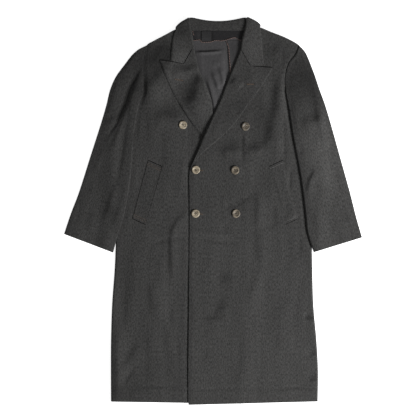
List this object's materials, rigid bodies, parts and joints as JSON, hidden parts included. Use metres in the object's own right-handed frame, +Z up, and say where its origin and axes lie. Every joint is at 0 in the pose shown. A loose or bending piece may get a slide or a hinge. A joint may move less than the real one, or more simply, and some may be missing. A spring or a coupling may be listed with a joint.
{
  "type": "double-breasted overcoat",
  "caption": "Long charcoal wool double-breasted overcoat with peaked lapels, laid out flat on its back with the sleeves down over its sides.",
  "frame": {"origin": "on the surface under the middle of the coat's bounding box", "axes": "+X towards the wearer's left, +Y from hem to collar, +Z up from the surface the coat lies on"},
  "size_m": [0.9238, 1.2008, 0.0203],
  "materials": {
    "wool_cloth": "charcoal wool twill",
    "lining_cloth": "grey lining",
    "facing_cloth": "dark satin facing",
    "rose_piping": "rose piping",
    "horn_button": "horn"
  },
  "bodies": {
    "root": {"back": "wool_cloth", "front_right": "wool_cloth", "front_left": "wool_cloth", "lapel_right": "wool_cloth", "lapel_left": "wool_cloth", "collar_fall": "wool_cloth", "collar_stand": "wool_cloth", "sleeve_right_under": "wool_cloth", "sleeve_right_upper": "wool_cloth", "sleeve_left_under": "wool_cloth", "sleeve_left_upper": "wool_cloth", "welt_right": "wool_cloth", "welt_left": "wool_cloth", "back_lining": "lining_cloth", "neck_facing": "facing_cloth", "front_facing": "facing_cloth", "hanger_tab": "facing_cloth", "neck_piping": "rose_piping", "facing_piping": "rose_piping", "button_1": "horn_button", "button_2": "horn_button", "button_3": "horn_button", "button_4": "horn_button", "button_5": "horn_button", "button_6": "horn_button"}
  },
  "joints": []
}
